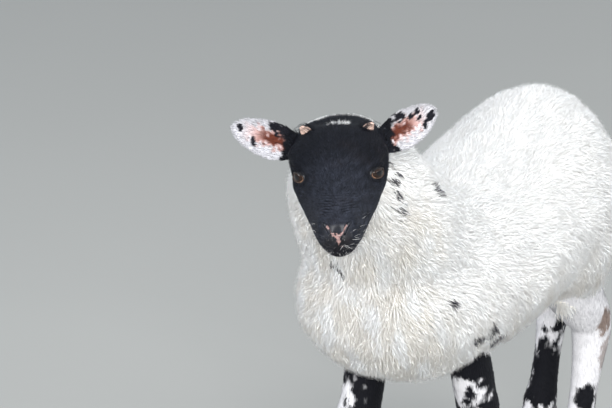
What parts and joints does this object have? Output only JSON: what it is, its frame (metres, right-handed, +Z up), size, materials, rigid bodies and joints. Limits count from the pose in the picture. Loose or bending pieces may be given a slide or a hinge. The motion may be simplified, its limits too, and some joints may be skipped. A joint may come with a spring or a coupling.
{
  "type": "lamb",
  "caption": "Life-size standing lamb with a black face, white fleece and piebald legs, head turned to its left, for a farm or museum display.",
  "frame": {"origin": "On the floor under the middle of the lamb's bounding box: the soles of the claws stand on Z = 0.", "axes": "The body lies along Y and faces -Y, with the head turned about 30 degrees to the lamb's left. +X is the lamb's left side and +Z is up."},
  "size_m": [0.2158, 0.5962, 0.5032],
  "materials": {
    "wool": "matt, soft white fleece in fine waves",
    "face_fur": "short black fur with a faint blue-grey sheen",
    "leg_fur": "short fur, black with white patches",
    "ear_fur": "fine white fur with black specks over pink skin",
    "eye": "wet, glossy dark brown",
    "horn": "smooth young horn, pale and a little waxy",
    "claw": "dark horn, dull with fine growth lines"
  },
  "bodies": {
    "root": {"torso": "wool", "neck": "wool", "tail": "wool", "head": "face_fur", "ear_left": "ear_fur", "ear_right": "ear_fur", "eye_left": "eye", "eye_right": "eye", "horn_bud_left": "horn", "horn_bud_right": "horn", "forearm_left": "leg_fur", "forearm_right": "leg_fur", "fore_cannon_left": "leg_fur", "fore_cannon_right": "leg_fur", "thigh_left": "wool", "thigh_right": "wool", "shank_left": "leg_fur", "shank_right": "leg_fur", "hind_cannon_left": "leg_fur", "hind_cannon_right": "leg_fur", "fore_claw_left_inner": "claw", "fore_claw_left_outer": "claw", "fore_claw_right_inner": "claw", "fore_claw_right_outer": "claw", "hind_claw_left_inner": "claw", "hind_claw_left_outer": "claw", "hind_claw_right_inner": "claw", "hind_claw_right_outer": "claw", "fore_dewclaw_left_inner": "claw", "fore_dewclaw_left_outer": "claw", "fore_dewclaw_right_inner": "claw", "fore_dewclaw_right_outer": "claw", "hind_dewclaw_left_inner": "claw", "hind_dewclaw_left_outer": "claw", "hind_dewclaw_right_inner": "claw", "hind_dewclaw_right_outer": "claw"}
  },
  "joints": []
}
